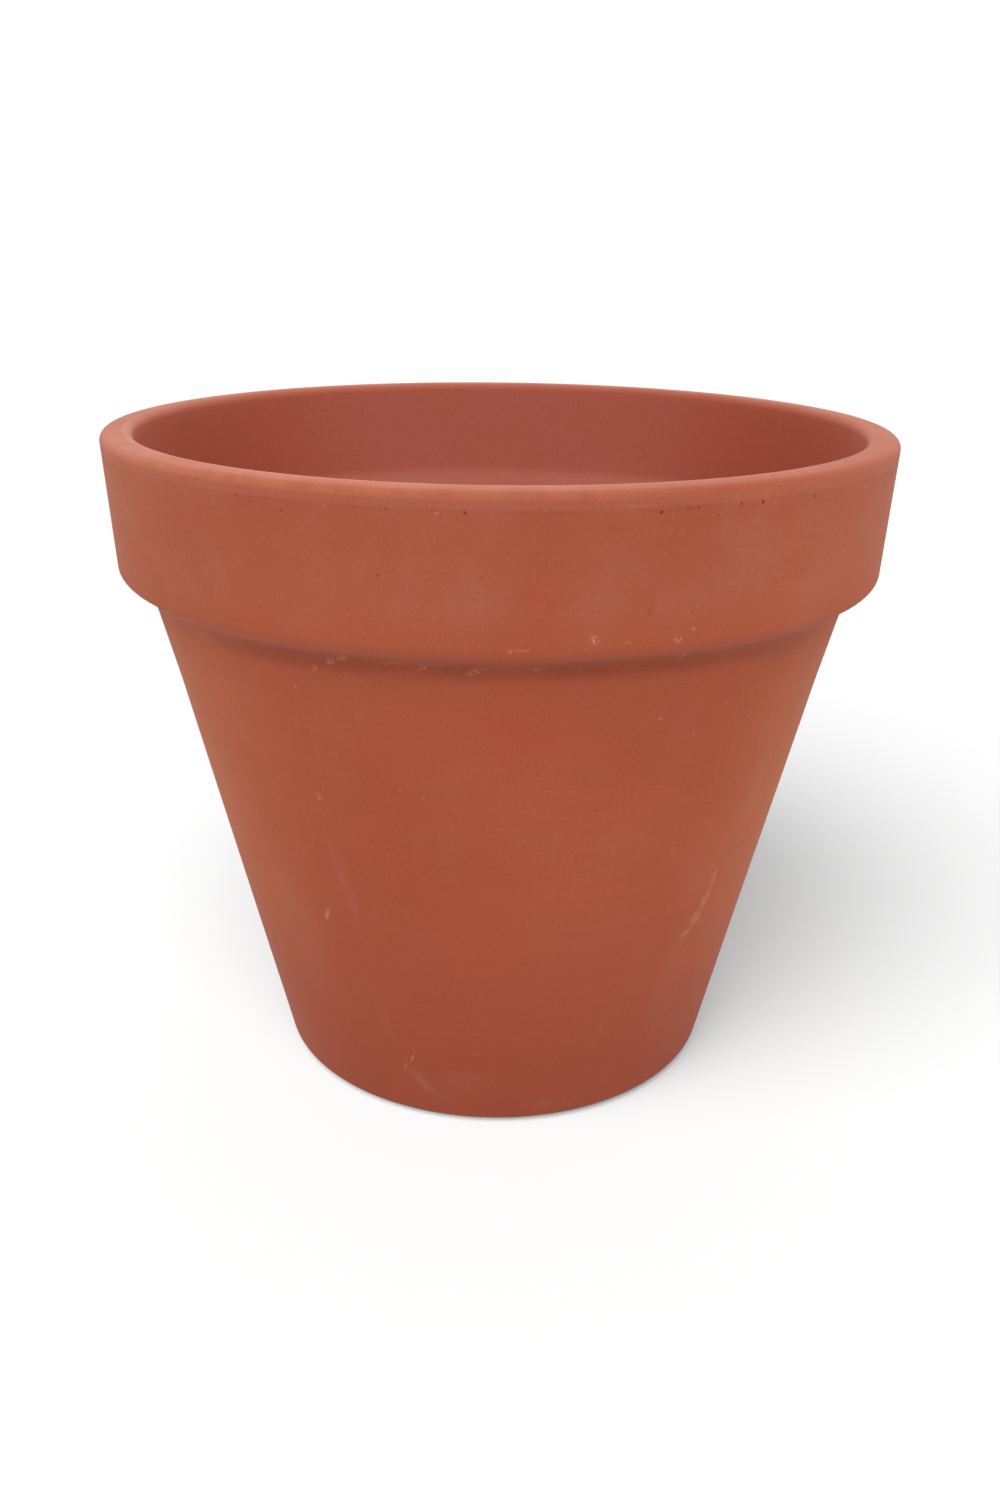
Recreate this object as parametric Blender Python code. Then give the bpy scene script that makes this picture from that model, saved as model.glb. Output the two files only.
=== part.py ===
"""Plain terracotta flower pot with a deep rolled collar.

One pressed and fired clay shell: a tapering wall on a broad foot ring, a thick
collar with a sloping shoulder under it, a softly rounded lip, an inner ledge
where the thick collar runs out into the thinner wall, a flat floor and one
round drain hole. Units are metres and +Z is up. The origin is the middle of
the circle that the foot stands on.
"""

import math

import bmesh
import bpy
from mathutils import Matrix, Vector

SEGMENTS = 72                    # facets around the pot
ARC_STEP = math.radians(15.0)    # largest turn between two points of a rounding

# Outside
HEIGHT = 0.175                   # ground to the top of the lip
WALL_FOOT_RADIUS = 0.06027       # the wall's straight line, carried down to the ground
WALL_FLARE = 0.2313              # radius that the wall gains per unit of height
CREASE_HEIGHT = 0.1352           # where the wall's line meets the collar's shoulder
SHOULDER_ANGLE = math.radians(34.5)   # the shoulder's rise above the horizontal
COLLAR_TOP_RADIUS = 0.1018       # the collar's face, carried up to the height of the lip
COLLAR_FLARE = 0.061             # radius that the collar gains per unit of height

# Inside
MOUTH_RADIUS = 0.0931            # inside of the lip
MOUTH_FLARE = 0.02
LEDGE_HEIGHT = 0.1475            # top of the inner ledge
LEDGE_ANGLE = math.radians(48.0)      # the ledge's fall below the horizontal
WALL_THICKNESS = 0.0071          # measured level, below the ledge
FLOOR_HEIGHT = 0.0105            # top of the floor

# Foot and drain hole
FOOT_RECESS_RADIUS = 0.041       # inner edge of the foot ring
FOOT_RECESS_DEPTH = 0.0015
FOOT_RECESS_RUN = 0.003          # level width of the slope into the recess
HOLE_RADIUS = 0.0125

# Roundings
FOOT_ROUND = 0.0047
CREASE_ROUND = 0.011
COLLAR_CORNER_ROUND = 0.0031
LIP_OUTER_ROUND = 0.0036
LIP_INNER_ROUND = 0.0019
LEDGE_TOP_ROUND = 0.003
LEDGE_FOOT_ROUND = 0.006
FLOOR_ROUND = 0.008
HOLE_EDGE_ROUND = 0.0014

TERRACOTTA = (0.402, 0.102, 0.052, 1.0)


def clear_scene():
    for scene_object in list(bpy.data.objects):
        bpy.data.objects.remove(scene_object, do_unlink=True)


def terracotta_material():
    material = bpy.data.materials.new("terracotta")
    material.use_nodes = True
    material.diffuse_color = TERRACOTTA
    shader = material.node_tree.nodes["Principled BSDF"]
    shader.inputs["Base Color"].default_value = TERRACOTTA
    shader.inputs["Roughness"].default_value = 0.9
    shader.inputs["Metallic"].default_value = 0.0
    return material


def outer_wall_radius(height):
    return WALL_FOOT_RADIUS + WALL_FLARE * height


def inner_wall_radius(height):
    return outer_wall_radius(height) - WALL_THICKNESS


def collar_radius(height):
    return COLLAR_TOP_RADIUS - COLLAR_FLARE * (HEIGHT - height)


def mouth_radius(height):
    return MOUTH_RADIUS - MOUTH_FLARE * (HEIGHT - height)


def collar_corner():
    """Where the shoulder's line meets the line of the collar's face."""
    rise = math.tan(SHOULDER_ANGLE)
    crease_radius = outer_wall_radius(CREASE_HEIGHT)
    level_gap = collar_radius(CREASE_HEIGHT) - crease_radius
    level_run = level_gap / (1.0 - COLLAR_FLARE * rise)
    return crease_radius + level_run, CREASE_HEIGHT + level_run * rise


def ledge_foot():
    """Where the ledge's line meets the line of the inner wall."""
    fall = math.tan(LEDGE_ANGLE)
    level_gap = mouth_radius(LEDGE_HEIGHT) - inner_wall_radius(LEDGE_HEIGHT)
    level_run = level_gap / (1.0 - WALL_FLARE * fall)
    return mouth_radius(LEDGE_HEIGHT) - level_run, LEDGE_HEIGHT - level_run * fall


def outline_corners():
    """The section's corners as (radius, height, rounding), once around the clay.

    They run from the drain hole out along the underside, up the outside, over
    the lip, down the inside and back along the floor to the hole.
    """
    recess_slope_top = FOOT_RECESS_RADIUS - FOOT_RECESS_RUN
    return [
        (HOLE_RADIUS, FOOT_RECESS_DEPTH, HOLE_EDGE_ROUND),
        (recess_slope_top, FOOT_RECESS_DEPTH, 0.0),
        (FOOT_RECESS_RADIUS, 0.0, 0.0),
        (outer_wall_radius(0.0), 0.0, FOOT_ROUND),
        (outer_wall_radius(CREASE_HEIGHT), CREASE_HEIGHT, CREASE_ROUND),
        (*collar_corner(), COLLAR_CORNER_ROUND),
        (COLLAR_TOP_RADIUS, HEIGHT, LIP_OUTER_ROUND),
        (MOUTH_RADIUS, HEIGHT, LIP_INNER_ROUND),
        (mouth_radius(LEDGE_HEIGHT), LEDGE_HEIGHT, LEDGE_TOP_ROUND),
        (*ledge_foot(), LEDGE_FOOT_ROUND),
        (inner_wall_radius(FLOOR_HEIGHT), FLOOR_HEIGHT, FLOOR_ROUND),
        (HOLE_RADIUS, FLOOR_HEIGHT, HOLE_EDGE_ROUND),
    ]


def rounded_corner(before, corner, after, rounding):
    """Points of the arc that rounds off one corner of the section."""
    if rounding == 0.0:
        return [corner]
    back = (before - corner).normalized()
    ahead = (after - corner).normalized()
    half_angle = back.angle(ahead) / 2.0
    centre = corner + (back + ahead).normalized() * (rounding / math.sin(half_angle))
    start = corner + back * (rounding / math.tan(half_angle)) - centre
    turn = start.angle_signed(corner + ahead * (rounding / math.tan(half_angle)) - centre)
    steps = max(2, math.ceil(abs(turn) / ARC_STEP))
    spokes = [Matrix.Rotation(-turn * step / steps, 2) @ start for step in range(steps + 1)]
    return [centre + spoke for spoke in spokes]


def section_points():
    corners = outline_corners()
    places = [Vector(corner[:2]) for corner in corners]
    points = []
    for index, corner in enumerate(corners):
        before = places[index - 1]
        after = places[(index + 1) % len(places)]
        points += rounded_corner(before, places[index], after, corner[2])
    return points


def turned_mesh(name, points):
    """Spin a closed section of (radius, height) points into a solid ring about +Z."""
    shape = bmesh.new()
    section = [shape.verts.new((point.x, 0.0, point.y)) for point in points]
    edges = [shape.edges.new((section[index - 1], section[index])) for index in range(len(section))]
    bmesh.ops.spin(
        shape, geom=edges, cent=(0.0, 0.0, 0.0), axis=(0.0, 0.0, 1.0),
        angle=2.0 * math.pi, steps=SEGMENTS, use_merge=True,
    )
    bmesh.ops.recalc_face_normals(shape, faces=shape.faces)
    mesh = bpy.data.meshes.new(name)
    shape.to_mesh(mesh)
    shape.free()
    mesh.shade_smooth()
    mesh.set_sharp_from_angle(angle=math.radians(40.0))
    return mesh


def build_pot():
    mesh = turned_mesh("pot", section_points())
    mesh.materials.append(terracotta_material())
    pot = bpy.data.objects.new("pot", mesh)
    bpy.context.scene.collection.objects.link(pot)
    return pot


clear_scene()
build_pot()
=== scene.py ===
"""Looks of a plain terracotta flower pot: a used, matt, unglazed clay shell on a pale floor."""

import math
import random

import bmesh
import bpy
from mathutils import Matrix, Vector, noise


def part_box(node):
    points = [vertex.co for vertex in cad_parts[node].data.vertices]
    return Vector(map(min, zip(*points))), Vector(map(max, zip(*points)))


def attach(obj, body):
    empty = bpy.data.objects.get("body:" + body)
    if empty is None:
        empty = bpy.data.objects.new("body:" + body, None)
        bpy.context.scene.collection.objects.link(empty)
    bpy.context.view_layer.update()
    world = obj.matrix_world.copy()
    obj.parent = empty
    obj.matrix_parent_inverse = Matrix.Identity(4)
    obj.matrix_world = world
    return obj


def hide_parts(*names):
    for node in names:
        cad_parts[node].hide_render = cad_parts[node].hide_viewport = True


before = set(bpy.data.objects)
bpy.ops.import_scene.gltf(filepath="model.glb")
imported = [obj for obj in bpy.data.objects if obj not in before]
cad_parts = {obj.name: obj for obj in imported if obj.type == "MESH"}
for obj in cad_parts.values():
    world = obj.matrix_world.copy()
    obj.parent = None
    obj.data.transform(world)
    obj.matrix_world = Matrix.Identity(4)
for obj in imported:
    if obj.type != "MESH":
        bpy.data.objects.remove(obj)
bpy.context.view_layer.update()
POT_LOW, POT_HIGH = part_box("pot")

MM = 0.001
HEIGHT = POT_HIGH.z - POT_LOW.z
RIM_RADIUS = POT_HIGH.x

# ---------------------------------------------------------------- shape of the pot

SEGMENTS = 440                   # columns around the pot
WALL_FOOT_RADIUS = 60.27 * MM    # the wall's straight line, carried down to the ground
WALL_FLARE = 0.2313              # radius that the wall gains per unit of height
WALL_SWELL_HEIGHT = 113.0 * MM   # above this the wall swells a little towards the crease
WALL_SWELL = 0.45 * MM           # how far out it has swollen at the crease
CREASE_HEIGHT = 135.2 * MM       # where the wall's line meets the collar's shoulder
CREASE_RISE = 1.4 * MM           # the crease climbs this much towards the front
CREASE_RISE_AZIMUTH = math.radians(8.0)
COLLAR_FOOT_HEIGHT = 140.5 * MM  # where the collar's face meets its sloping shoulder
COLLAR_FLARE = 0.061             # radius that the collar gains per unit of height
BAND_DROP = 3.7 * MM             # from the lip's top to the start of the upright band under it
BAND_FLARE = 0.02                # radius that the band gains per unit of height
CROWN_DROP = 0.3 * MM            # from the lip's top to the outer edge of its crown
CROWN_WIDTH = 4.0 * MM           # the sloping outer part of the crown; the rest is level
MOUTH_RADIUS = 93.6 * MM
MOUTH_FLARE = 0.02               # radius that the mouth gains per unit of height
LEDGE_HEIGHT = 147.0 * MM        # the top of the sloping ledge inside
LEDGE_ANGLE = math.radians(48.0)
WALL_THICKNESS = 7.1 * MM
FLOOR_HEIGHT = 10.5 * MM
FOOT_RECESS_RADIUS = 41.0 * MM
FOOT_RECESS_DEPTH = 1.5 * MM
FOOT_RECESS_RUN = 3.0 * MM
HOLE_RADIUS = 12.5 * MM

CREASE_ROUND_SHARP = 3.5 * MM    # fillet under the collar where it is crispest
CREASE_ROUND_SOFT = 14.0 * MM    # and where the clay was wiped smooth
BAND_STEP = 0.06 * MM            # the band under the lip stands this proud of the collar's face
WOBBLE = 0.10 * MM               # how far the pressed clay is out of true
SLOW_WOBBLE = 14.0               # how quickly its broad waves change, per metre
QUICK_WOBBLE = 60.0              # and its shorter waves
WOBBLE_CLEARANCE = 12.0 * MM     # the foot is ground flat: the wobble fades out below this


def outer_wall_radius(height):
    return WALL_FOOT_RADIUS + WALL_FLARE * height


def inner_wall_radius(height):
    return outer_wall_radius(height) - WALL_THICKNESS


def mouth_radius(height):
    return MOUTH_RADIUS - MOUTH_FLARE * (HEIGHT - height)


def line_crossing(start, slope_out, radius_at):
    """Where a line from start, climbing slope_out per unit of radius, meets radius_at(height)."""
    radius, height = start
    for _ in range(30):
        target = radius_at(height)
        height = start[1] + (target - start[0]) * slope_out
        radius = target
    return radius, height


def collar_radius(height):
    band_foot = HEIGHT - BAND_DROP
    return RIM_RADIUS - COLLAR_FLARE * (band_foot - height)


# In the shape's own functions azimuth is 0 at the right, and turns anticlockwise seen from above,
# so that the front is at -90 degrees. Everything else counts from the front, and to the right.

def crease_round(azimuth):
    """The fillet under the collar is crisp at the front and back, and wiped smooth at the sides."""
    softness = math.cos(azimuth) ** 2
    return CREASE_ROUND_SHARP + (CREASE_ROUND_SOFT - CREASE_ROUND_SHARP) * softness


def crease_height(azimuth):
    """The crease wanders: it is highest a little to the right of the front."""
    nearness = max(0.0, -math.sin(azimuth - CREASE_RISE_AZIMUTH))
    return CREASE_HEIGHT + CREASE_RISE * nearness ** 4


def outline_corners(azimuth):
    """The closed outline of the clay at one azimuth, from the drain hole's lower edge outwards.

    Each corner is (radius, height, rounding, arc steps, spacing of the straight run that follows).
    """
    band_foot = HEIGHT - BAND_DROP
    crown_edge = HEIGHT - CROWN_DROP
    band_top_radius = RIM_RADIUS + BAND_FLARE * (crown_edge - band_foot)
    crease_at = crease_height(azimuth)
    crease = (outer_wall_radius(crease_at) + WALL_SWELL, crease_at)
    collar_corner = (collar_radius(COLLAR_FOOT_HEIGHT), COLLAR_FOOT_HEIGHT)
    ledge_top = (mouth_radius(LEDGE_HEIGHT), LEDGE_HEIGHT)
    ledge_foot = line_crossing(ledge_top, math.tan(LEDGE_ANGLE), inner_wall_radius)
    recess_slope_top = FOOT_RECESS_RADIUS - FOOT_RECESS_RUN
    return [
        (HOLE_RADIUS, FOOT_RECESS_DEPTH, 1.4 * MM, 4, 6.0 * MM),
        (recess_slope_top, FOOT_RECESS_DEPTH, 1.5 * MM, 3, 2.0 * MM),
        (FOOT_RECESS_RADIUS, 0.0, 1.0 * MM, 2, 4.0 * MM),
        (outer_wall_radius(0.0), 0.0, 4.7 * MM, 9, 3.6 * MM),
        (outer_wall_radius(WALL_SWELL_HEIGHT), WALL_SWELL_HEIGHT, 300.0 * MM, 3, 3.6 * MM),
        (*crease, crease_round(azimuth), 8, 1.2 * MM),
        (*collar_corner, 3.0 * MM, 8, 1.9 * MM),
        (RIM_RADIUS - BAND_STEP, band_foot, 2.0 * MM, 1, 1.0 * MM),
        (RIM_RADIUS, band_foot + 0.6 * MM, 2.0 * MM, 1, 1.4 * MM),
        (band_top_radius, crown_edge, 2.0 * MM, 9, 1.0 * MM),
        (band_top_radius - CROWN_WIDTH, HEIGHT, 5.0 * MM, 4, 1.0 * MM),
        (MOUTH_RADIUS, HEIGHT, 2.3 * MM, 9, 2.6 * MM),
        (*ledge_top, 5.5 * MM, 6, 1.4 * MM),
        (*ledge_foot, 6.0 * MM, 5, 4.5 * MM),
        (inner_wall_radius(FLOOR_HEIGHT), FLOOR_HEIGHT, 8.0 * MM, 7, 5.0 * MM),
        (HOLE_RADIUS, FLOOR_HEIGHT, 1.4 * MM, 4, 2.0 * MM),
    ]


def rounded_corner(before, corner, after, rounding, steps):
    """Points along the arc that rounds a corner off."""
    back = (before - corner).normalized()
    ahead = (after - corner).normalized()
    half_angle = back.angle(ahead) / 2.0
    centre = corner + (back + ahead).normalized() * (rounding / math.sin(half_angle))
    cut = rounding / math.tan(half_angle)
    start = corner + back * cut - centre
    turn = start.angle_signed(corner + ahead * cut - centre)
    return [centre + Matrix.Rotation(-turn * step / steps, 2) @ start for step in range(steps + 1)]


def section(azimuth, run_counts):
    """The outline's points. The first call fills run_counts, so that every section matches it."""
    corners = outline_corners(azimuth)
    places = [Vector(corner[:2]) for corner in corners]
    arcs = []
    for index, (_, _, rounding, steps, _) in enumerate(corners):
        after = places[(index + 1) % len(places)]
        arcs.append(rounded_corner(places[index - 1], places[index], after, rounding, steps))
    if not run_counts:
        for index, corner in enumerate(corners):
            run = (arcs[(index + 1) % len(arcs)][0] - arcs[index][-1]).length
            run_counts.append(max(1, round(run / corner[4])))
    points = []
    for index, arc in enumerate(arcs):
        points += arc
        start = arc[-1]
        end = arcs[(index + 1) % len(arcs)][0]
        points += [start.lerp(end, step / run_counts[index]) for step in range(1, run_counts[index])]
    return points


def out_of_true(place):
    """Slow unevenness of the pressed clay, as a distance along the level direction outwards."""
    slow = noise.noise(place * SLOW_WOBBLE)
    quick = noise.noise(place * QUICK_WOBBLE + Vector((3.0, 1.0, 7.0)))
    clearance = min(1.0, place.z / WOBBLE_CLEARANCE)
    return WOBBLE * (0.8 * slow + 0.25 * quick) * clearance


# Air holes that opened under the lip: (degrees round from the front, height in mm, radius in mm)
LIP_PITS = [
    (-38, 170.8, 0.15),
    (-32, 170.8, 0.22),
    (-26, 169.2, 0.22),
    (-13, 171.6, 0.18),
    (-4, 170.8, 0.26),
    (3, 170.8, 0.14),
    (6, 171.2, 0.13),
    (18.6, 169.4, 0.34),
    (23, 171.0, 0.20),
    (26, 169.0, 0.19),
    (29, 170.6, 0.27),
    (31, 169.6, 0.14),
    (32, 170.9, 0.38),
    (41, 169.4, 0.26),
    (44, 169.0, 0.17),
    (56, 169.8, 0.18),
]
BACK_PITS = 14                   # more of them, scattered over the far side
BACK_PITS_START = 68.0           # where the far side starts, in degrees round from the front
BACK_PITS_SPAN = 224.0           # and how far it goes
PIT_CUTS = 11                    # how finely the face under a pit is divided
PIT_FACE_AREA = 1.3 * MM * MM    # the smallest face that takes a pit
PIT_FACE_REACH = 0.62 * MM       # how far a pit's edge may lie from that face's middle
PIT_ZONE_DROP = 9.0 * MM         # only faces of the collar this near the lip's top take pits
PIT_ZONE_DEPTH = 2.0 * MM        # and this near its outside
PIT_DEPTH = 0.9                  # depth over radius
PIT_RIM = 0.12                   # how far the clay stands up round a pit, over its radius
PIT_RIM_REACH = 1.7              # how far out that raised rim goes, over the radius
PIT_SHADE_REACH = 1.25            # how far out a pit's painted shade reaches, over the radius
PIT_SHADE_FADE = 0.5              # the width over which that painted shade fades in, over the radius
PIT_RAGGEDNESS = 0.5             # how much a pit's radius varies round its edge
PIT_RAGGED_SIZE = 2600.0         # how quickly it varies, per metre


def pit_list():
    """The pits of the front as listed, and the far side's by chance."""
    chance = random.Random(21)
    pits = list(LIP_PITS)
    for index in range(BACK_PITS):
        step = index + chance.uniform(0.1, 0.9)
        azimuth = BACK_PITS_START + (BACK_PITS_SPAN * step) / BACK_PITS
        pits.append((azimuth, chance.uniform(168.6, 171.6), chance.uniform(0.15, 0.36)))
    return pits


def press_pits(shape):
    """Sinks small ragged holes in the collar, and marks how strongly each vertex in and round a hole takes
    the pits' painted shade.
    """
    pit_shade_mark = shape.verts.layers.float.new("pit")
    shape.faces.ensure_lookup_table()
    candidates = []
    for face in shape.faces:
        centre = face.calc_center_median()
        near_lip = centre.z > HEIGHT - PIT_ZONE_DROP
        near_outside = centre.xy.length > RIM_RADIUS - PIT_ZONE_DEPTH
        if near_lip and near_outside and face.calc_area() > PIT_FACE_AREA:
            candidates.append((centre, face))
    for azimuth, height, radius in pit_list():
        turn = math.radians(azimuth)
        wanted = Vector((RIM_RADIUS * math.sin(turn), -RIM_RADIUS * math.cos(turn), height * MM))
        centre, face = min(candidates, key=lambda candidate: (candidate[0] - wanted).length)
        if not face.is_valid or len(face.verts) != 4:
            continue
        inward = -face.normal.copy()
        shift = wanted - centre
        shift -= inward * shift.dot(inward)
        reach = max(0.0, PIT_FACE_REACH - radius * MM)
        centre = centre + shift.normalized() * min(reach, shift.length)
        made = bmesh.ops.subdivide_edges(shape, edges=face.edges[:], cuts=PIT_CUTS, use_grid_fill=True)
        inside = {item for item in made["geom_inner"] if isinstance(item, bmesh.types.BMVert)}
        for vertex in inside:
            ragged = 1.0 + PIT_RAGGEDNESS * noise.noise(vertex.co * PIT_RAGGED_SIZE)
            share = (vertex.co - centre).length / (radius * MM * ragged)
            if share < PIT_SHADE_REACH:
                vertex[pit_shade_mark] = min(1.0, (PIT_SHADE_REACH - share) / PIT_SHADE_FADE)
            if 1.0 < share < PIT_RIM_REACH:
                vertex.co -= inward * (PIT_RIM * radius * MM * (PIT_RIM_REACH - share))
            if share < 1.0:
                vertex.co += inward * (radius * MM * PIT_DEPTH * (1.0 - share * share) ** 0.5)
    # A pit's neighbours now have many corners on one side: a fan from their middle suits them best
    bmesh.ops.poke(shape, faces=[face for face in shape.faces if len(face.verts) > 4])


def clay_mesh():
    """The whole pot as one closed shell: a section at each column, joined up by rows of faces."""
    run_counts = []
    shape = bmesh.new()
    columns = []
    for column in range(SEGMENTS):
        azimuth = 2.0 * math.pi * column / SEGMENTS
        outward = Vector((math.cos(azimuth), math.sin(azimuth), 0.0))
        vertices = []
        for point in section(azimuth, run_counts):
            place = outward * point.x + Vector((0.0, 0.0, point.y))
            vertices.append(shape.verts.new(place + outward * out_of_true(place)))
        columns.append(vertices)
    count = len(columns[0])
    for column in range(SEGMENTS):
        here = columns[column - 1]
        there = columns[column]
        for row in range(count):
            shape.faces.new((here[row - 1], there[row - 1], there[row], here[row]))
    bmesh.ops.recalc_face_normals(shape, faces=shape.faces)
    press_pits(shape)
    mesh = bpy.data.meshes.new("clay_pot")
    shape.to_mesh(mesh)
    shape.free()
    mesh.shade_smooth()
    return mesh


# ---------------------------------------------------------------- materials

class Graph:
    """Builds a material's nodes from short calls. A value is a socket or a number."""

    def __init__(self, material):
        material.use_nodes = True
        self.tree = material.node_tree
        self.shader = self.tree.nodes["Principled BSDF"]
        self.output = self.tree.nodes["Material Output"]

    def put(self, socket, value):
        if isinstance(value, bpy.types.NodeSocket):
            self.tree.links.new(value, socket)
        else:
            socket.default_value = value

    def node(self, kind, **settings):
        made = self.tree.nodes.new(kind)
        for name, value in settings.items():
            setattr(made, name, value)
        return made

    def math(self, operation, first, second=0.0, clamp=False):
        made = self.node("ShaderNodeMath", operation=operation, use_clamp=clamp)
        self.put(made.inputs[0], first)
        self.put(made.inputs[1], second)
        return made.outputs[0]

    def times(self, *values):
        product = values[0]
        for value in values[1:]:
            product = self.math("MULTIPLY", product, value)
        return product

    def vector(self, operation, first, second=None):
        made = self.node("ShaderNodeVectorMath", operation=operation)
        self.put(made.inputs[0], first)
        if second is not None:
            self.put(made.inputs[1], second)
        return made.outputs["Value"] if operation == "LENGTH" else made.outputs["Vector"]

    def join(self, x, y, z):
        made = self.node("ShaderNodeCombineXYZ")
        for index, value in enumerate((x, y, z)):
            self.put(made.inputs[index], value)
        return made.outputs[0]

    def ramp(self, value, low, high, new_low=0.0, new_high=1.0):
        """Goes smoothly from new_low, at low, to new_high, at high. low may be above high."""
        made = self.node("ShaderNodeMapRange", interpolation_type="SMOOTHSTEP")
        self.put(made.inputs["Value"], value)
        limits = {"From Min": low, "From Max": high, "To Min": new_low, "To Max": new_high}
        for name, number in limits.items():
            self.put(made.inputs[name], number)
        return made.outputs["Result"]

    def band(self, value, low, high, soft_low, soft_high):
        """1 between low and high, fading to 0 over soft_low below them and soft_high above."""
        rise = self.ramp(value, low - soft_low, low)
        fall = self.ramp(value, high + soft_high, high)
        return self.times(rise, fall)

    def noise(self, place, size, detail=2.0, roughness=0.5, output="Fac"):
        """size is the width of the noise's largest features."""
        made = self.node("ShaderNodeTexNoise")
        self.put(made.inputs["Vector"], place)
        made.inputs["Scale"].default_value = 1.0 / size
        made.inputs["Detail"].default_value = detail
        made.inputs["Roughness"].default_value = roughness
        return made.outputs[output]

    def shaken(self, place, size, reach):
        """The place moved about by noise, so that a mark's outline comes out ragged."""
        shift = self.vector("SUBTRACT", self.noise(place, size, 3.0, 0.6, "Color"), (0.5, 0.5, 0.5))
        return self.vector("ADD", place, self.vector("MULTIPLY", shift, (reach, reach, reach)))

    def specks(self, place, cell, radius):
        """1 in small round grains, no bigger than radius, about one to a cell."""
        made = self.node("ShaderNodeTexVoronoi", feature="F1")
        self.put(made.inputs["Vector"], place)
        made.inputs["Scale"].default_value = 1.0 / cell
        return self.ramp(made.outputs["Distance"], radius / cell, 0.6 * radius / cell)

    def mix(self, share, first, second, blend="MIX"):
        made = self.node("ShaderNodeMix", data_type="RGBA", blend_type=blend)
        self.put(made.inputs["Factor"], share)
        self.put(made.inputs[6], first)
        self.put(made.inputs[7], second)
        return made.outputs[2]


def colour(red, green, blue):
    """A linear colour."""
    return (red, green, blue, 1.0)


CLAY = colour(0.565, 0.119, 0.046)
CLAY_DEEP = colour(0.530, 0.103, 0.037)
CLAY_PINK = colour(0.560, 0.160, 0.095)
CLAY_RED = colour(0.590, 0.098, 0.042)
# Pale dust on the collar and the foot's rubbed edge, and painted reflection on the lip's ends
PALE_DUST_AND_REFLECTION = colour(0.640, 0.262, 0.170)
INSIDE_CLAY = colour(0.612, 0.164, 0.105)
LEDGE_DUST = colour(0.610, 0.210, 0.146)
# Rubbed paler crown, also painted lighter towards the front-left as painted light
WORN_AND_LIT_CLAY = colour(0.750, 0.232, 0.120)
# Painted highlight: the pale line along the lip's inner edge
INNER_EDGE_HIGHLIGHT = colour(0.800, 0.260, 0.130)
# Painted sheen: the paler colour of the flanks
FLANK_SHEEN = colour(0.720, 0.225, 0.090)
BAND_CLAY = colour(0.660, 0.200, 0.120)
# Painted shade: the darker colour towards the foot
FOOT_SHADE = colour(0.405, 0.070, 0.031)
# Painted shade: the dark line along the crease
CREASE_SHADE = colour(0.330, 0.060, 0.027)
CREASE_DIRT = colour(0.352, 0.099, 0.049)
CHALK = colour(0.770, 0.390, 0.250)
CHALKY_FILM = colour(0.520, 0.220, 0.160)
IRON = colour(0.300, 0.046, 0.016)
# Painted shade: the darker colour inside the pits
PIT_SHADE = colour(0.340, 0.042, 0.012)

MEAN_RADIUS = 85.0 * MM          # the radius at which the wall is unrolled to place its marks
COLLAR_MIDDLE = 96.8 * MM        # a radius inside the collar's thickness
RUBBED_AND_LIT_LIP_AZIMUTH = math.radians(-30.0)  # the lip is held and rubbed most on this side, and painted lightest there
FLANK_FULL_HEIGHT = 120.0 * MM   # the painted sheen on the flanks is strongest below this
FLANK_FADED_HEIGHT = 146.0 * MM  # and nearly gone above this
DUST_LOW = 139.0 * MM            # the collar's dust thickens from here
DUST_HIGH = 152.0 * MM           # to here
FOOT_SHADE_TOP = 95.0 * MM            # the painted shade that darkens the wall towards the foot climbs this high
FOOT_SHADE_BOTTOM = -15.0 * MM        # and would be full here, under the ground
CLOUD_SIZE = 70.0 * MM
MOTTLE_SIZE = 16.0 * MM
SMUDGE_SIZE = 7.0 * MM
TURNING_SIZE = 0.9 * MM
GRAIN_SIZE = 0.5 * MM
BUMP_DEPTH = 0.10 * MM
BUMP_STRENGTH = 0.45

# Each mark is an oval on the outside: (degrees round from the front, height in mm,
# half width in mm, half height in mm, degrees that its top leans to the left, strength)
CHIPS = [
    (-30, 127.0, 0.7, 1.0, 0, 0.40),
    (-26, 132.6, 0.9, 1.1, -30, 0.65),
    (-23, 135.0, 1.6, 1.0, 30, 0.65),
    (-21, 136.2, 2.2, 0.9, 20, 0.45),
    (-14, 136.2, 3.6, 0.7, 6, 0.30),
    (-10, 135.4, 1.6, 0.8, 20, 0.35),
    (-3, 135.2, 2.6, 0.9, 20, 0.38),
    (5, 135.8, 2.0, 0.7, 0, 0.30),
    (1.4, 141.9, 0.6, 0.9, 0, 0.70),
    (11.3, 144.0, 1.5, 1.1, -45, 0.80),
    (15.4, 143.2, 0.9, 0.7, 0, 0.75),
    (22, 143.0, 1.3, 1.0, -40, 0.65),
    (24, 144.8, 0.6, 0.6, 0, 0.75),
    (25, 137.2, 0.6, 1.1, -25, 0.70),
    (-20, 170.4, 0.7, 0.5, 0, 0.42),
    (-7, 170.2, 0.7, 0.6, 0, 0.46),
    (19.8, 169.5, 0.7, 0.5, 0, 0.45),
    (162, 142.6, 1.4, 1.0, 30, 0.70),
    (-152, 143.4, 1.0, 0.8, 0, 0.70),
    (112, 136.0, 1.8, 0.9, 20, 0.50),
    (-98, 135.4, 2.0, 0.9, 0, 0.45),
    (-163, 170.0, 0.8, 0.6, 0, 0.60),
]
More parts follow.
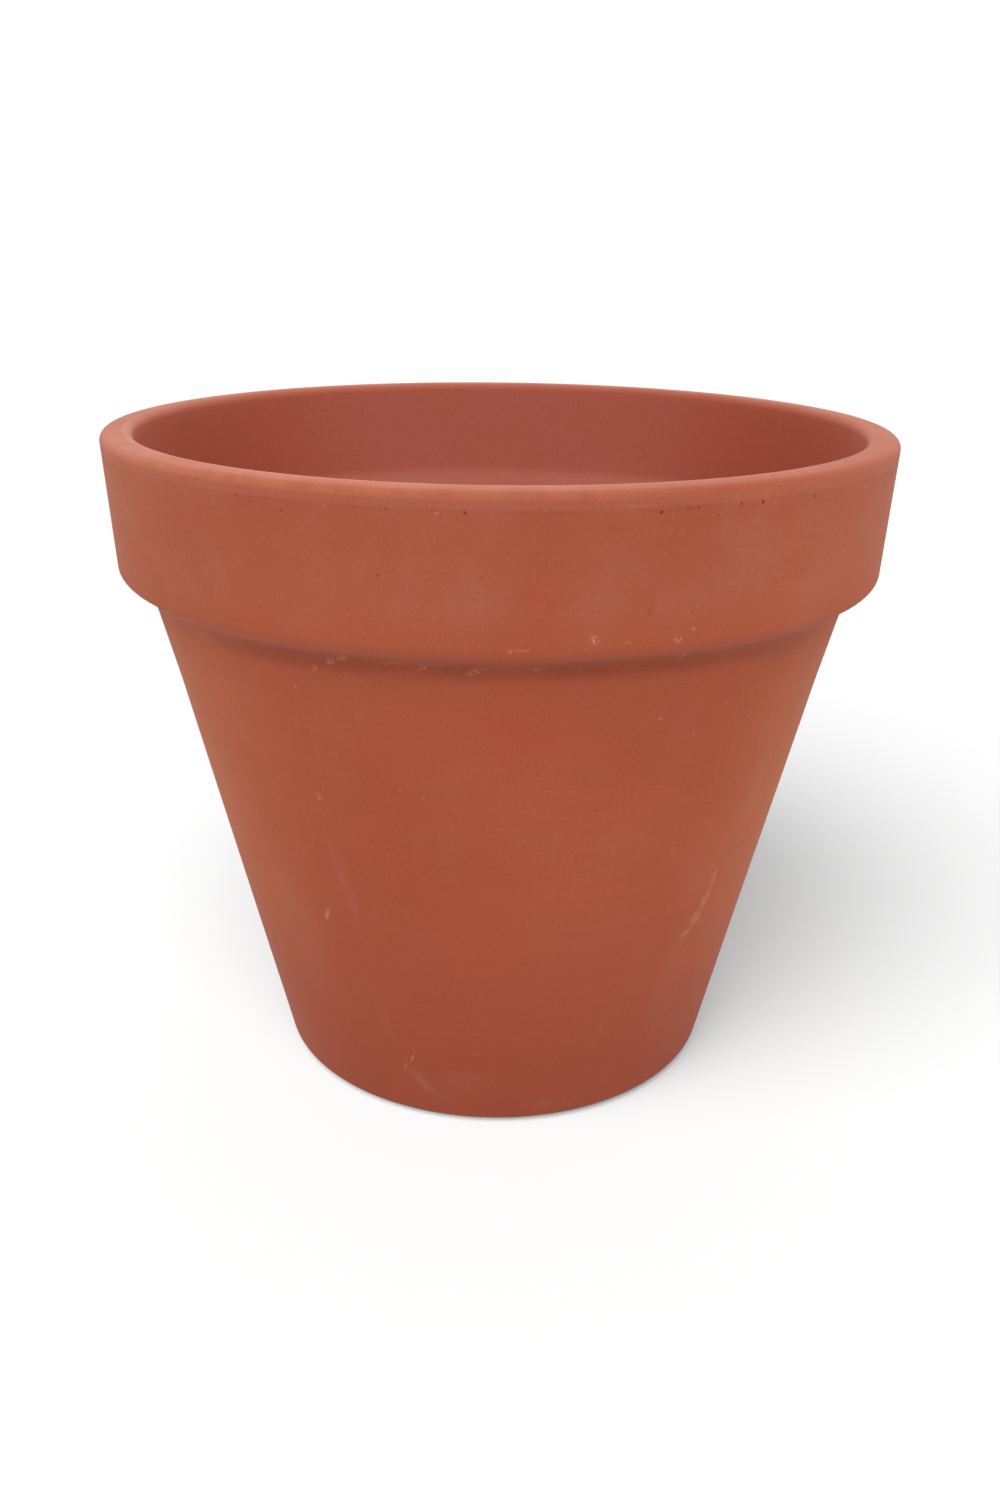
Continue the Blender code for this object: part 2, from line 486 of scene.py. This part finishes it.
SCUFFS = [
    (-30, 98.0, 1.1, 1.8, -10, 0.42),
    (-15, 103.7, 0.4, 0.7, -30, 0.50),
    (2.8, 142.2, 1.9, 0.3, 0, 0.60),
    (-8, 136.6, 6.0, 0.3, 0, 0.22),
    (12, 142.3, 5.5, 0.25, 0, 0.16),
    (24, 121.4, 0.9, 0.40, 0, 0.45),
    (36, 122.2, 1.6, 0.45, 8, 0.36),
    (38, 126.5, 0.7, 0.3, 0, 0.18),
    (32, 83.8, 0.7, 0.5, 0, 0.45),
    (-34, 62.4, 1.0, 3.1, -26, 0.60),
    (24, 30.5, 0.5, 0.9, -25, 0.50),
    (-19, 20.5, 0.7, 1.9, -24, 0.42),
    (-21, 17.0, 0.8, 3.2, -20, 0.22),
    (46.5, 69.0, 1.5, 4.4, -3, 0.40),
    (45.8, 62.5, 2.5, 4.8, -14, 0.40),
    (44.3, 57.5, 3.4, 3.6, -30, 0.42),
    (42.3, 53.8, 3.6, 1.8, 28, 0.36),
    (9.5, 90.5, 0.5, 5.0, 0, 0.10),
    (16, 171.6, 3.6, 0.3, -4, 0.30),
    (53.5, 169.4, 1.8, 0.9, 0, 0.30),
    (39, 172.6, 1.4, 0.25, 0, 0.20),
    (166, 66.0, 1.1, 3.2, 24, 0.45),
    (-150, 88.0, 2.4, 0.6, 10, 0.40),
    (134, 40.0, 0.9, 2.6, -30, 0.45),
    (-124, 112.0, 0.7, 0.5, 0, 0.45),
    (-82, 60.0, 1.2, 3.0, 18, 0.40),
    (96, 24.0, 2.6, 1.1, 12, 0.32),
    (-140, 33.0, 0.8, 5.0, -22, 0.28),
]
DARK_SPOTS = [
    (-46, 156.8, 0.35, 0.35, 0, 0.75),
    (-14, 157.0, 0.3, 0.45, -30, 0.75),
    (18, 149.8, 0.60, 1.6, -12, 0.30),
    (6, 151.8, 1.0, 1.2, 20, 0.18),
    (16, 98.6, 0.38, 0.38, 0, 0.85),
    (6, 109.4, 0.3, 0.3, 0, 0.60),
    (27, 129.4, 0.4, 0.3, 0, 0.40),
    (22, 170.6, 0.9, 0.3, 0, 0.35),
    (-30, 169.9, 0.7, 0.3, 0, 0.30),
    (41, 170.4, 0.6, 0.3, 0, 0.30),
]
DARK_SMEARS = [
    (-28, 170.6, 7.0, 0.8, 0, 0.16),
    (6, 170.2, 10.0, 0.9, 0, 0.20),
    (21, 170.0, 7.0, 1.0, 0, 0.20),
    (40, 169.8, 8.0, 0.9, 0, 0.14),
    (164, 170.4, 14.0, 0.9, 0, 0.16),
    (-110, 170.2, 12.0, 0.9, 0, 0.16),
]
PINK_PATCHES = [
    (-43, 50.0, 15.0, 27.0, 10, 0.45),
    (-28, 73.0, 3.2, 19.0, 10, 0.30),
    (-26, 38.0, 3.4, 17.0, 18, 0.30),
    (41, 36.0, 10.0, 24.0, 0, 0.45),
    (52, 92.0, 6.0, 20.0, 0, 0.35),
    (-70, 110.0, 12.0, 30.0, 0, 0.25),
    (-146, 60.0, 16.0, 28.0, -8, 0.40),
    (124, 92.0, 12.0, 26.0, 6, 0.35),
]
RED_PATCHES = [
    (5, 153.0, 5.5, 5.0, 0, 0.75),
    (3, 118.0, 26.0, 16.0, 0, 0.45),
    (-2, 60.0, 22.0, 22.0, 0, 0.35),
]
CHALKY_PATCHES = [
    (-17, 12.0, 10.0, 3.2, -32, 0.30),
    (-12, 8.0, 9.0, 2.6, -10, 0.16),
    (-6, 14.0, 15.0, 6.0, 0, 0.12),
    (12, 6.0, 16.0, 2.6, 0, 0.12),
    (-48, 133.0, 6.0, 2.6, 8, 0.24),
    (35.5, 131.5, 5.5, 0.9, -26, 0.18),
    (150, 13.0, 15.0, 4.6, 8, 0.26),
    (-118, 28.0, 12.0, 6.0, 24, 0.20),
]
CREASE_BLOTCHES = [
    (46, 134.0, 15.0, 7.0, -4, 0.25),
    (30, 136.0, 10.0, 2.8, 3, 0.18),
    (-22, 136.2, 12.0, 2.2, 2, 0.25),
    (-40, 134.8, 12.0, 3.0, 0, 0.28),
    (-55, 133.0, 7.0, 2.8, 0, 0.14),
    (142, 134.8, 24.0, 3.0, 2, 0.30),
    (-132, 134.2, 26.0, 3.6, -2, 0.26),
]


def marks(graph, flat, ovals, edge):
    """The strongest mark at each point. edge is where an oval starts to fade, as a share of its size."""
    total = 0.0
    for azimuth, height, half_width, half_height, lean, strength in ovals:
        oval = graph.node("ShaderNodeMapping", vector_type="TEXTURE")
        graph.put(oval.inputs["Vector"], flat)
        oval.inputs["Location"].default_value = (math.radians(azimuth) * MEAN_RADIUS, height * MM, 0.0)
        oval.inputs["Rotation"].default_value = (0.0, 0.0, math.radians(lean))
        oval.inputs["Scale"].default_value = (half_width * MM, half_height * MM, 1.0)
        share = graph.vector("LENGTH", oval.outputs[0])
        total = graph.math("MAXIMUM", total, graph.ramp(share, 1.0, edge, 0.0, strength))
    return total


class Surface:
    """The coordinates and masks that every layer of the clay's finish is laid out by.

    flat is the wall unrolled: the distance round from the front, then the height. depth is how far a
    point lies inside the middle of the wall, inside and outside are 1 on those faces and 0 elsewhere.
    rightwards runs from -1 at the left to 1 at the right, sideways is its size, and the lip's side mask is 1
    where the lip is rubbed most and painted lightest, and -1 opposite.
    """

    def __init__(self, graph):
        self.place = graph.node("ShaderNodeTexCoord").outputs["Object"]
        split = graph.node("ShaderNodeSeparateXYZ")
        graph.put(split.inputs[0], self.place)
        self.height = split.outputs["Z"]
        frontward = graph.math("MULTIPLY", split.outputs["Y"], -1.0)
        azimuth = graph.math("ARCTAN2", split.outputs["X"], frontward)
        arc = graph.math("MULTIPLY", azimuth, MEAN_RADIUS)
        self.flat = graph.join(arc, self.height, 0.0)
        radius = graph.vector("LENGTH", graph.join(split.outputs["X"], split.outputs["Y"], 0.0))
        # The middle of the wall, and of the collar above the ledge, parts the inside from the outside
        wall = graph.math("MULTIPLY_ADD", self.height, WALL_FLARE)
        wall.node.inputs[2].default_value = WALL_FOOT_RADIUS - WALL_THICKNESS / 2.0
        collar = graph.ramp(self.height, LEDGE_HEIGHT - 7.5 * MM, LEDGE_HEIGHT - 5.5 * MM, 0.0, COLLAR_MIDDLE)
        self.depth = graph.math("SUBTRACT", graph.math("MAXIMUM", wall, collar), radius)
        self.inside = graph.ramp(self.depth, -1.2 * MM, 1.2 * MM)
        self.outside = graph.math("SUBTRACT", 1.0, self.inside)
        self.rightwards = graph.math("SINE", azimuth)
        self.sideways = graph.math("ABSOLUTE", self.rightwards)
        self.rubbed_and_lit_side = graph.math("COSINE", graph.math("SUBTRACT", azimuth, RUBBED_AND_LIT_LIP_AZIMUTH))
        # The crease wanders as in crease_height
        nearness = graph.math("COSINE", graph.math("SUBTRACT", azimuth, CREASE_RISE_AZIMUTH))
        nearness = graph.math("POWER", graph.math("MAXIMUM", nearness, 0.0), 4.0)
        crease = graph.math("MULTIPLY_ADD", nearness, CREASE_RISE)
        crease.node.inputs[2].default_value = CREASE_HEIGHT
        self.above_crease = graph.math("SUBTRACT", self.height, crease)
        # Patterns over the whole clay, from the broadest to the finest
        self.clouds = graph.noise(self.place, CLOUD_SIZE, 3.0, 0.5)
        self.mottles = graph.noise(self.place, MOTTLE_SIZE, 3.0, 0.55)
        upright = graph.vector("MULTIPLY", self.place, (1.0, 1.0, 0.45))
        self.smudges = graph.noise(upright, SMUDGE_SIZE, 4.0, 0.6)
        level = graph.vector("MULTIPLY", self.place, (0.02, 0.02, 1.0))
        self.turning = graph.noise(level, TURNING_SIZE, 2.0, 0.6)
        self.grain = graph.noise(self.place, GRAIN_SIZE, 2.0, 0.65)
        # Shaken copies of flat, for marks with ragged and with wandering outlines
        self.ragged = graph.shaken(self.flat, 0.9 * MM, 0.8 * MM)
        self.wandering = graph.shaken(graph.shaken(self.flat, 12.0 * MM, 6.0 * MM), 1.6 * MM, 1.6 * MM)


def fired_clay_with_painted_light(graph, surface):
    """The bare clay: cloudy from the kiln, with redder and pinker areas, and flanks made paler by painted
    sheen.

    The inside is pinker, and painted shade darkens it towards its sides, under a coat of dust that is
    thickest on the ledge and thins towards the sides.
    """
    shade = graph.mix(graph.ramp(surface.clouds, 0.35, 0.65), CLAY_DEEP, CLAY)
    shade = graph.mix(graph.ramp(surface.mottles, 0.45, 0.75, 0.0, 0.22), shade, CLAY_PINK)
    red = graph.times(surface.outside, marks(graph, surface.wandering, RED_PATCHES, 0.1))
    shade = graph.mix(red, shade, CLAY_RED)
    pink = graph.times(surface.outside, marks(graph, surface.wandering, PINK_PATCHES, 0.3))
    shade = graph.mix(pink, shade, CLAY_PINK)
    # Painted sheen: the wall is paler towards its left and right flanks, most of all low down
    flank_sheen = graph.ramp(surface.sideways, 0.50, 1.0, 0.0, 0.46)
    low_down = graph.ramp(surface.height, FLANK_FADED_HEIGHT, FLANK_FULL_HEIGHT, 0.25, 1.0)
    flank_sheen = graph.times(flank_sheen, surface.outside, low_down)
    shade = graph.mix(flank_sheen, shade, FLANK_SHEEN)
    # The inside, with painted shade that darkens it towards its sides
    shade = graph.mix(graph.times(surface.inside, 0.85), shade, INSIDE_CLAY)
    # Painted shade: the inside is darker towards its left and right sides
    inside_side_shade = graph.times(surface.inside, graph.ramp(surface.sideways, 0.35, 1.0, 0.0, 0.72))
    shade = graph.mix(inside_side_shade, shade, CLAY_DEEP)
    dust_film_and_shade = graph.times(surface.inside, graph.ramp(surface.clouds, 0.40, 0.60, 0.28, 0.48))
    # The dust thins towards the sides too, which adds to that painted shade
    dust_film_and_shade = graph.times(dust_film_and_shade, graph.ramp(surface.sideways, 0.2, 0.8, 1.0, 0.3))
    shade = graph.mix(dust_film_and_shade, shade, LEDGE_DUST)
    ledge = graph.band(surface.height, LEDGE_HEIGHT - 4.5 * MM, LEDGE_HEIGHT - 0.5 * MM, 1.5 * MM, 1.6 * MM)
    return graph.mix(graph.times(ledge, surface.inside, 0.48), shade, LEDGE_DUST)


def weathered_with_painted_light(graph, surface, shade):
    """Dust on the collar, a rubbed lip and foot edge, and dirt in the crease, with painted shade towards the
    foot and along the crease, and painted light on the lip's crown, inner edge and ends.
    """
    # Dust on the collar, and painted shade that darkens the wall towards the foot
    collar = graph.ramp(surface.height, DUST_LOW, DUST_HIGH, 0.03, 0.15)
    dust = graph.times(collar, surface.outside, graph.ramp(surface.mottles, 0.3, 0.7, 0.6, 1.3))
    shade = graph.mix(dust, shade, PALE_DUST_AND_REFLECTION)
    foot = graph.ramp(surface.height, FOOT_SHADE_TOP, FOOT_SHADE_BOTTOM, 0.0, 0.85)
    foot = graph.times(foot, surface.outside, graph.ramp(surface.clouds, 0.3, 0.7, 0.8, 1.1))
    shade = graph.mix(foot, shade, FOOT_SHADE)
    # The lip: its duller band, then its crown, rubbed pale and painted lighter on the side where it is held,
    # with a painted highlight along its inner edge
    band = graph.band(surface.height, HEIGHT - BAND_DROP + 0.2 * MM, HEIGHT - 1.9 * MM, 0.7 * MM, 0.8 * MM)
    shade = graph.mix(graph.times(band, surface.outside, 0.34), shade, BAND_CLAY)
    crown = graph.ramp(surface.height, HEIGHT - 2.6 * MM, HEIGHT - 1.2 * MM)
    unhandled = graph.times(crown, graph.ramp(surface.rubbed_and_lit_side, 0.9, 0.4, 0.0, 0.45))
    shade = graph.mix(unhandled, shade, CLAY)
    # Wear and painted light: the crown is rubbed paler, and painted lighter towards the front-left
    worn_and_lit = graph.times(crown, graph.ramp(surface.smudges, 0.3, 0.6, 0.27, 0.54))
    worn_and_lit = graph.times(worn_and_lit, graph.ramp(surface.rubbed_and_lit_side, 0.5, 0.98, 0.2, 1.15))
    shade = graph.mix(worn_and_lit, shade, WORN_AND_LIT_CLAY)
    # Painted highlight: a pale line along the lip's inner edge, strongest towards the front-left
    inner_edge_highlight = graph.band(surface.depth, 1.4 * MM, 2.6 * MM, 0.7 * MM, 0.6 * MM)
    inner_edge_highlight = graph.times(inner_edge_highlight, crown, graph.ramp(surface.smudges, 0.3, 0.6, 0.35, 0.65))
    inner_edge_highlight = graph.times(inner_edge_highlight, graph.ramp(surface.rubbed_and_lit_side, 0.2, 0.8, 0.15, 1.0))
    shade = graph.mix(inner_edge_highlight, shade, INNER_EDGE_HIGHLIGHT)
    # Painted reflection: the lip's left and right ends are paler
    lip = graph.ramp(surface.height, HEIGHT - 6.0 * MM, HEIGHT - 1.0 * MM)
    left_lip_reflection = graph.ramp(surface.rightwards, -0.55, -0.95, 0.0, 0.12)
    right_lip_reflection = graph.ramp(surface.rightwards, 0.55, 0.95, 0.0, 0.05)
    shade = graph.mix(graph.times(lip, graph.math("MAXIMUM", left_lip_reflection, right_lip_reflection)), shade, PALE_DUST_AND_REFLECTION)
    # The foot's edge, rubbed pale in patches
    rubbed_foot = graph.ramp(surface.height, 2.2 * MM, 0.4 * MM)
    rubbed_foot = graph.times(rubbed_foot, graph.ramp(surface.smudges, 0.45, 0.65, 0.0, 0.45))
    shade = graph.mix(rubbed_foot, shade, PALE_DUST_AND_REFLECTION)
    # The crease: a dark line of painted shade that fades at the sides, and dirt in blotches along it
    line = graph.band(surface.above_crease, -1.0 * MM, 0.6 * MM, 4.4 * MM, 3.4 * MM)
    line = graph.times(line, graph.ramp(surface.mottles, 0.35, 0.6, 0.34, 0.52))
    line = graph.times(line, surface.outside, graph.ramp(surface.sideways, 0.90, 0.45, 0.05, 1.0))
    shade = graph.mix(line, shade, CREASE_SHADE)
    dirt = marks(graph, surface.wandering, CREASE_BLOTCHES, 0.2)
    dirt = graph.times(dirt, surface.outside, graph.ramp(surface.smudges, 0.3, 0.6, 0.65, 1.0))
    dirt = graph.times(dirt, graph.ramp(surface.above_crease, 4.6 * MM, 1.6 * MM, 0.20, 1.0))
    return graph.mix(dirt, shade, CREASE_DIRT)


def marked_with_pit_shade(graph, surface, shade):
    """Knocks, scuffs, chalk and grains, and painted shade inside the pits.

    Also gives how pale each point was knocked. That goes into the roughness but not into the bump,
    which makes three copies of all that feeds it, and these marks would be too much for the renderer.
    """
    # Patches of chalk, then flecked chips and broken scuffs
    chalky = marks(graph, surface.wandering, CHALKY_PATCHES, 0.0)
    chalky = graph.times(chalky, graph.ramp(surface.smudges, 0.35, 0.65, 0.45, 1.2))
    shade = graph.mix(graph.times(chalky, surface.outside), shade, CHALKY_FILM)
    broken = graph.ramp(graph.noise(surface.place, 0.55 * MM, 2.0, 0.6), 0.38, 0.58, 0.12, 1.0)
    flecks = graph.specks(surface.place, 0.50 * MM, 0.30 * MM)
    flecks = graph.times(flecks, marks(graph, surface.ragged, CHIPS, 0.3))
    scuffs = graph.times(marks(graph, surface.ragged, SCUFFS, 0.2), broken)
    pale = graph.times(graph.math("MAXIMUM", flecks, scuffs), surface.outside)
    shade = graph.mix(pale, shade, CHALK)
    # Dark spots and smears, lime and iron grains, and painted shade in the pits
    dark = marks(graph, surface.ragged, DARK_SPOTS, 0.4)
    shade = graph.mix(graph.times(dark, surface.outside), shade, IRON)
    smears = graph.times(marks(graph, surface.wandering, DARK_SMEARS, 0.1), surface.outside, broken)
    shade = graph.mix(smears, shade, CREASE_DIRT)
    lime = graph.specks(surface.place, 11.0 * MM, 0.30 * MM)
    shade = graph.mix(graph.times(lime, 0.45), shade, CHALK)
    iron = graph.specks(graph.vector("ADD", surface.place, (0.31, 0.17, 0.05)), 9.0 * MM, 0.28 * MM)
    shade = graph.mix(graph.times(iron, 0.55), shade, IRON)
    # Painted shade: the pits are darker inside
    pit = graph.node("ShaderNodeAttribute", attribute_name="pit").outputs["Fac"]
    return graph.mix(graph.times(pit, 0.85), shade, PIT_SHADE), pale


def terracotta_material():
    """The used clay's colour, roughness and bump."""
    material = bpy.data.materials.new("used_terracotta")
    graph = Graph(material)
    surface = Surface(graph)
    shade = fired_clay_with_painted_light(graph, surface)
    shade = weathered_with_painted_light(graph, surface, shade)
    shade, pale = marked_with_pit_shade(graph, surface, shade)
    speckle = graph.ramp(surface.grain, 0.3, 0.7, 0.94, 1.05)
    speckle = graph.times(speckle, graph.ramp(surface.turning, 0.3, 0.7, 0.985, 1.015))
    shade = graph.mix(1.0, shade, graph.join(speckle, speckle, speckle), "MULTIPLY")
    graph.put(graph.shader.inputs["Base Color"], shade)

    rubbed_smooth = graph.ramp(surface.height, HEIGHT - 2.2 * MM, HEIGHT - 0.5 * MM, 0.0, 0.18)
    rough = graph.ramp(surface.mottles, 0.3, 0.7, 0.80, 0.90)
    rough = graph.math("SUBTRACT", rough, rubbed_smooth)
    rough = graph.math("ADD", rough, graph.times(pale, 0.1), clamp=True)
    graph.put(graph.shader.inputs["Roughness"], rough)

    relief = graph.math("ADD", surface.grain, graph.times(surface.mottles, 1.2))
    relief = graph.math("ADD", relief, graph.times(surface.turning, 0.15))
    bump = graph.node("ShaderNodeBump")
    bump.inputs["Distance"].default_value = BUMP_DEPTH
    bump.inputs["Strength"].default_value = BUMP_STRENGTH
    graph.put(bump.inputs["Height"], relief)
    graph.put(graph.shader.inputs["Normal"], bump.outputs[0])
    graph.shader.inputs["Specular IOR Level"].default_value = 0.45
    graph.shader.inputs["Diffuse Roughness"].default_value = 0.6
    graph.shader.inputs["Sheen Weight"].default_value = 0.06
    graph.shader.inputs["Sheen Roughness"].default_value = 0.4
    graph.shader.inputs["Sheen Tint"].default_value = colour(1.0, 0.86, 0.80)
    return material


FLOOR_SEEN = colour(0.18, 0.18, 0.18)
FLOOR_THROWN = colour(0.13, 0.13, 0.13)
FLOOR_GLOW = 0.26                # the light table's own brightness, which only the camera sees


def floor_material():
    """A light table: white to look at, but it throws back only a little light on the pot."""
    material = bpy.data.materials.new("studio_floor")
    graph = Graph(material)
    lit = graph.node("ShaderNodeBsdfDiffuse")
    lit.inputs["Color"].default_value = FLOOR_SEEN
    glow = graph.node("ShaderNodeEmission")
    glow.inputs["Strength"].default_value = FLOOR_GLOW
    seen = graph.node("ShaderNodeAddShader")
    graph.put(seen.inputs[0], lit.outputs[0])
    graph.put(seen.inputs[1], glow.outputs[0])
    thrown = graph.node("ShaderNodeBsdfDiffuse")
    thrown.inputs["Color"].default_value = FLOOR_THROWN
    path = graph.node("ShaderNodeLightPath")
    mixed = graph.node("ShaderNodeMixShader")
    graph.put(mixed.inputs[0], path.outputs["Is Camera Ray"])
    graph.put(mixed.inputs[1], thrown.outputs[0])
    graph.put(mixed.inputs[2], seen.outputs[0])
    graph.tree.nodes.remove(graph.shader)
    graph.put(graph.output.inputs["Surface"], mixed.outputs[0])
    return material


# ---------------------------------------------------------------- scene

FLOOR_RADIUS = 12.0
FLOOR_GAP = 0.1 * MM             # the floor lies this much lower than the pot's foot

# Camera: a phone held in front of the pot, a little above its rim
CAMERA_BACK = 0.37166
CAMERA_HEIGHT = 0.22288
CAMERA_PITCH = 0.3597
CAMERA_YAW = 0.0022
CAMERA_ROLL = 0.0113
CAMERA_LENS = 33.41
CAMERA_SENSOR = 36.0

# Lights: (degrees to the right of the front, degrees up, degrees across, level on a white card)
FRONT_LIGHT = (0.0, 42.0, 70.0, 0.37)
FLOOR_LIGHT = (-22.0, 50.0, 48.0, 4.4)
SKY_LEVEL = 0.41
BACKDROP_BOOST = 0.82            # added to the sky on the far side, behind the pot
BACKDROP_START = -0.4            # it starts here, between -1, straight in front, and 1, straight behind
BACKDROP_FULL = 0.9              # and reaches its full strength here


def add_object(name, data):
    made = bpy.data.objects.new(name, data)
    bpy.context.scene.collection.objects.link(made)
    return made


def add_pot():
    mesh = clay_mesh()
    mesh.materials.append(terracotta_material())
    pot = add_object("clay_pot", mesh)
    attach(pot, "root")
    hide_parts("pot")
    return pot


def add_floor():
    shape = bmesh.new()
    bmesh.ops.create_circle(shape, cap_ends=True, segments=96, radius=FLOOR_RADIUS)
    mesh = bpy.data.meshes.new("studio_floor")
    shape.to_mesh(mesh)
    shape.free()
    mesh.materials.append(floor_material())
    floor = add_object("studio_floor", mesh)
    floor.location.z = POT_LOW.z - FLOOR_GAP
    return floor


def add_camera():
    data = bpy.data.cameras.new("camera")
    data.lens = CAMERA_LENS
    data.sensor_width = CAMERA_SENSOR
    data.clip_start = 0.01
    camera = add_object("camera", data)
    camera.matrix_world = (
        Matrix.Translation((0.0, -CAMERA_BACK, CAMERA_HEIGHT))
        @ Matrix.Rotation(-CAMERA_YAW, 4, "Z")
        @ Matrix.Rotation(math.pi / 2.0 - CAMERA_PITCH, 4, "X")
        @ Matrix.Rotation(CAMERA_ROLL, 4, "Z")
    )
    bpy.context.scene.camera = camera


def add_soft_light(name, azimuth, elevation, softness, level):
    """A broad studio light a long way off. level is what it adds to a white card that faces it."""
    data = bpy.data.lights.new(name, "SUN")
    data.angle = math.radians(softness)
    data.energy = level * math.pi
    light = add_object(name, data)
    turn = Matrix.Rotation(math.radians(azimuth), 4, "Z")
    tilt = Matrix.Rotation(math.radians(90.0 - elevation), 4, "X")
    light.matrix_world = turn @ tilt
    return light


def add_world():
    """A white studio with a bright backdrop behind the pot, seen by the camera as plain white."""
    world = bpy.data.worlds.new("studio")
    bpy.context.scene.world = world
    world.use_nodes = True
    nodes = world.node_tree.nodes
    links = world.node_tree.links
    background = nodes["Background"]
    background.inputs["Color"].default_value = (1.0, 1.0, 1.0, 1.0)
    direction = nodes.new("ShaderNodeTexCoord")
    split = nodes.new("ShaderNodeSeparateXYZ")
    links.new(direction.outputs["Generated"], split.inputs[0])
    backdrop = nodes.new("ShaderNodeMapRange")
    backdrop.interpolation_type = "SMOOTHSTEP"
    backdrop.inputs["From Min"].default_value = BACKDROP_START
    backdrop.inputs["From Max"].default_value = BACKDROP_FULL
    backdrop.inputs["To Max"].default_value = BACKDROP_BOOST
    links.new(split.outputs["Y"], backdrop.inputs["Value"])
    total = nodes.new("ShaderNodeMath")
    total.inputs[0].default_value = SKY_LEVEL
    links.new(backdrop.outputs["Result"], total.inputs[1])
    path = nodes.new("ShaderNodeLightPath")
    seen = nodes.new("ShaderNodeMix")
    links.new(path.outputs["Is Camera Ray"], seen.inputs["Factor"])
    links.new(total.outputs[0], seen.inputs["A"])
    seen.inputs["B"].default_value = 1.0
    links.new(seen.outputs["Result"], background.inputs["Strength"])


def add_lights(floor):
    """One light from the front for everything, and one from the left that lights only the floor."""
    add_soft_light("front_light", *FRONT_LIGHT)
    floor_light = add_soft_light("floor_light", *FLOOR_LIGHT)
    lit = bpy.data.collections.new("lit_by_floor_light")
    lit.objects.link(floor)
    floor_light.light_linking.receiver_collection = lit


add_pot()
studio_floor = add_floor()
add_camera()
add_world()
add_lights(studio_floor)
bpy.context.scene.view_settings.view_transform = "Standard"
